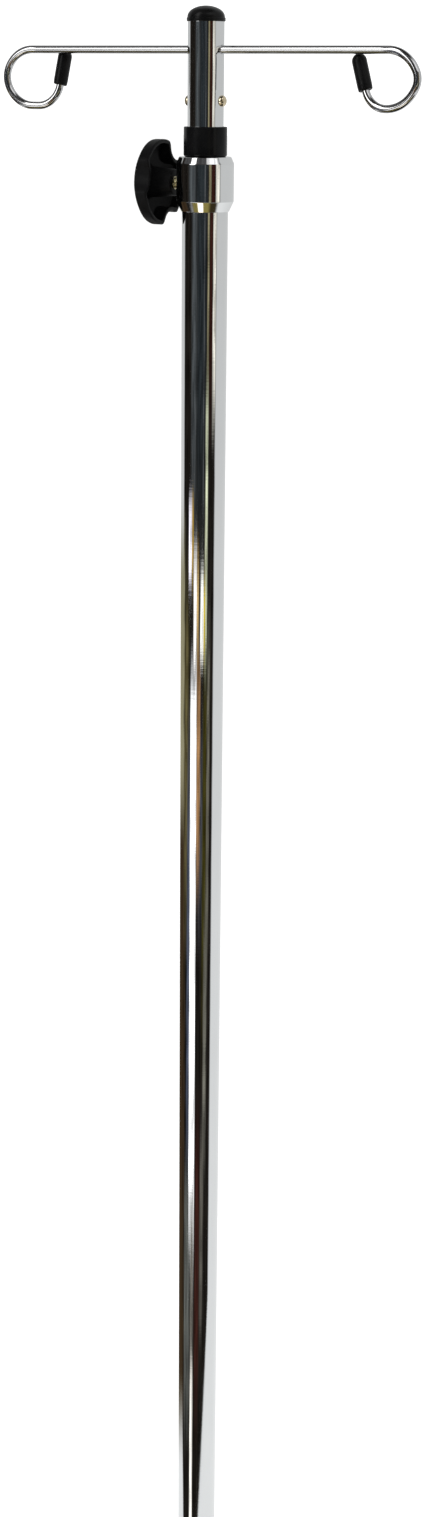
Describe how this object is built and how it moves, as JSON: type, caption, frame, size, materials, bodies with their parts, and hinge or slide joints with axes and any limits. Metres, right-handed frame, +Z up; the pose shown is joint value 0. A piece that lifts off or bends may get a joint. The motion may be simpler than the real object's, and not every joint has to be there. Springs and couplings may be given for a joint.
{
  "type": "iv pole",
  "caption": "Telescoping chrome infusion pole for a bed or chair socket, with a hooked crossbar on its sliding inner tube and a clamp collar with a lobed hand knob.",
  "frame": {"origin": "centre of the foot plug's lower face, where the pole stands in its socket", "axes": "+Z up along the pole; the hooks spread along X, with the clamp knob on the -X side and the hooks' tips behind the bar, towards +Y"},
  "size_m": [0.2839, 0.0505, 1.25],
  "materials": {
    "tube_chrome": "mirror-polished chrome plate",
    "collar_chrome": "mirror-polished chrome plate on a turned collar",
    "rod_chrome": "bright chrome plate on drawn rod",
    "rivet_steel": "bright nickel-plated rivet",
    "stud_zinc": "yellow zinc-plated screw thread",
    "insert_brass": "plain turned brass",
    "knob_black": "matt moulded black plastic",
    "bush_black": "glossy moulded black plastic",
    "cap_black": "satin moulded black plastic",
    "tip_vinyl": "dipped black vinyl",
    "foot_black": "matt moulded black plastic",
    "spool_black": "matt moulded black plastic",
    "glide_nylon": "natural nylon",
    "pin_steel": "plain rolled spring steel"
  },
  "bodies": {
    "outer_pole": {"outer_tube": "tube_chrome", "clamp_collar": "collar_chrome", "thread_insert": "insert_brass", "guide_bush": "bush_black", "foot_plug": "foot_black"},
    "pad": {"clamp_pad": "glide_nylon"},
    "knob": {"clamp_stud": "stud_zinc", "clamp_knob": "knob_black"},
    "ring": {"glide_ring": "glide_nylon"},
    "inner_pole": {"inner_tube": "tube_chrome", "inner_spool": "spool_black", "spool_pin": "pin_steel", "stop_rivet": "rivet_steel", "hook_rod": "rod_chrome", "hook_tip_left": "tip_vinyl", "hook_tip_right": "tip_vinyl", "dome_cap": "cap_black"}
  },
  "joints": [
    {"name": "pole_slide", "type": "slide", "parent": "outer_pole", "child": "ring", "axis": [0, 0, 1], "range_m": [-0.0113, 0.7]},
    {"name": "hook_swivel", "type": "hinge", "parent": "ring", "child": "inner_pole", "pos_m": [0, 0, 1], "axis": [0, 0, 1], "continuous": true},
    {"name": "pad_travel", "type": "slide", "parent": "outer_pole", "child": "pad", "axis": [-1, 0, 0], "range_m": [0, 0.00251]},
    {"name": "knob_turn", "type": "hinge", "parent": "pad", "child": "knob", "pos_m": [-0.02, 0, 1.148], "axis": [-1, 0, 0], "range_deg": [0, 720]}
  ],
  "couplings": [
    {"joint": "pad_travel", "follows": "knob_turn", "m_per_rad": 0.00019894}
  ]
}
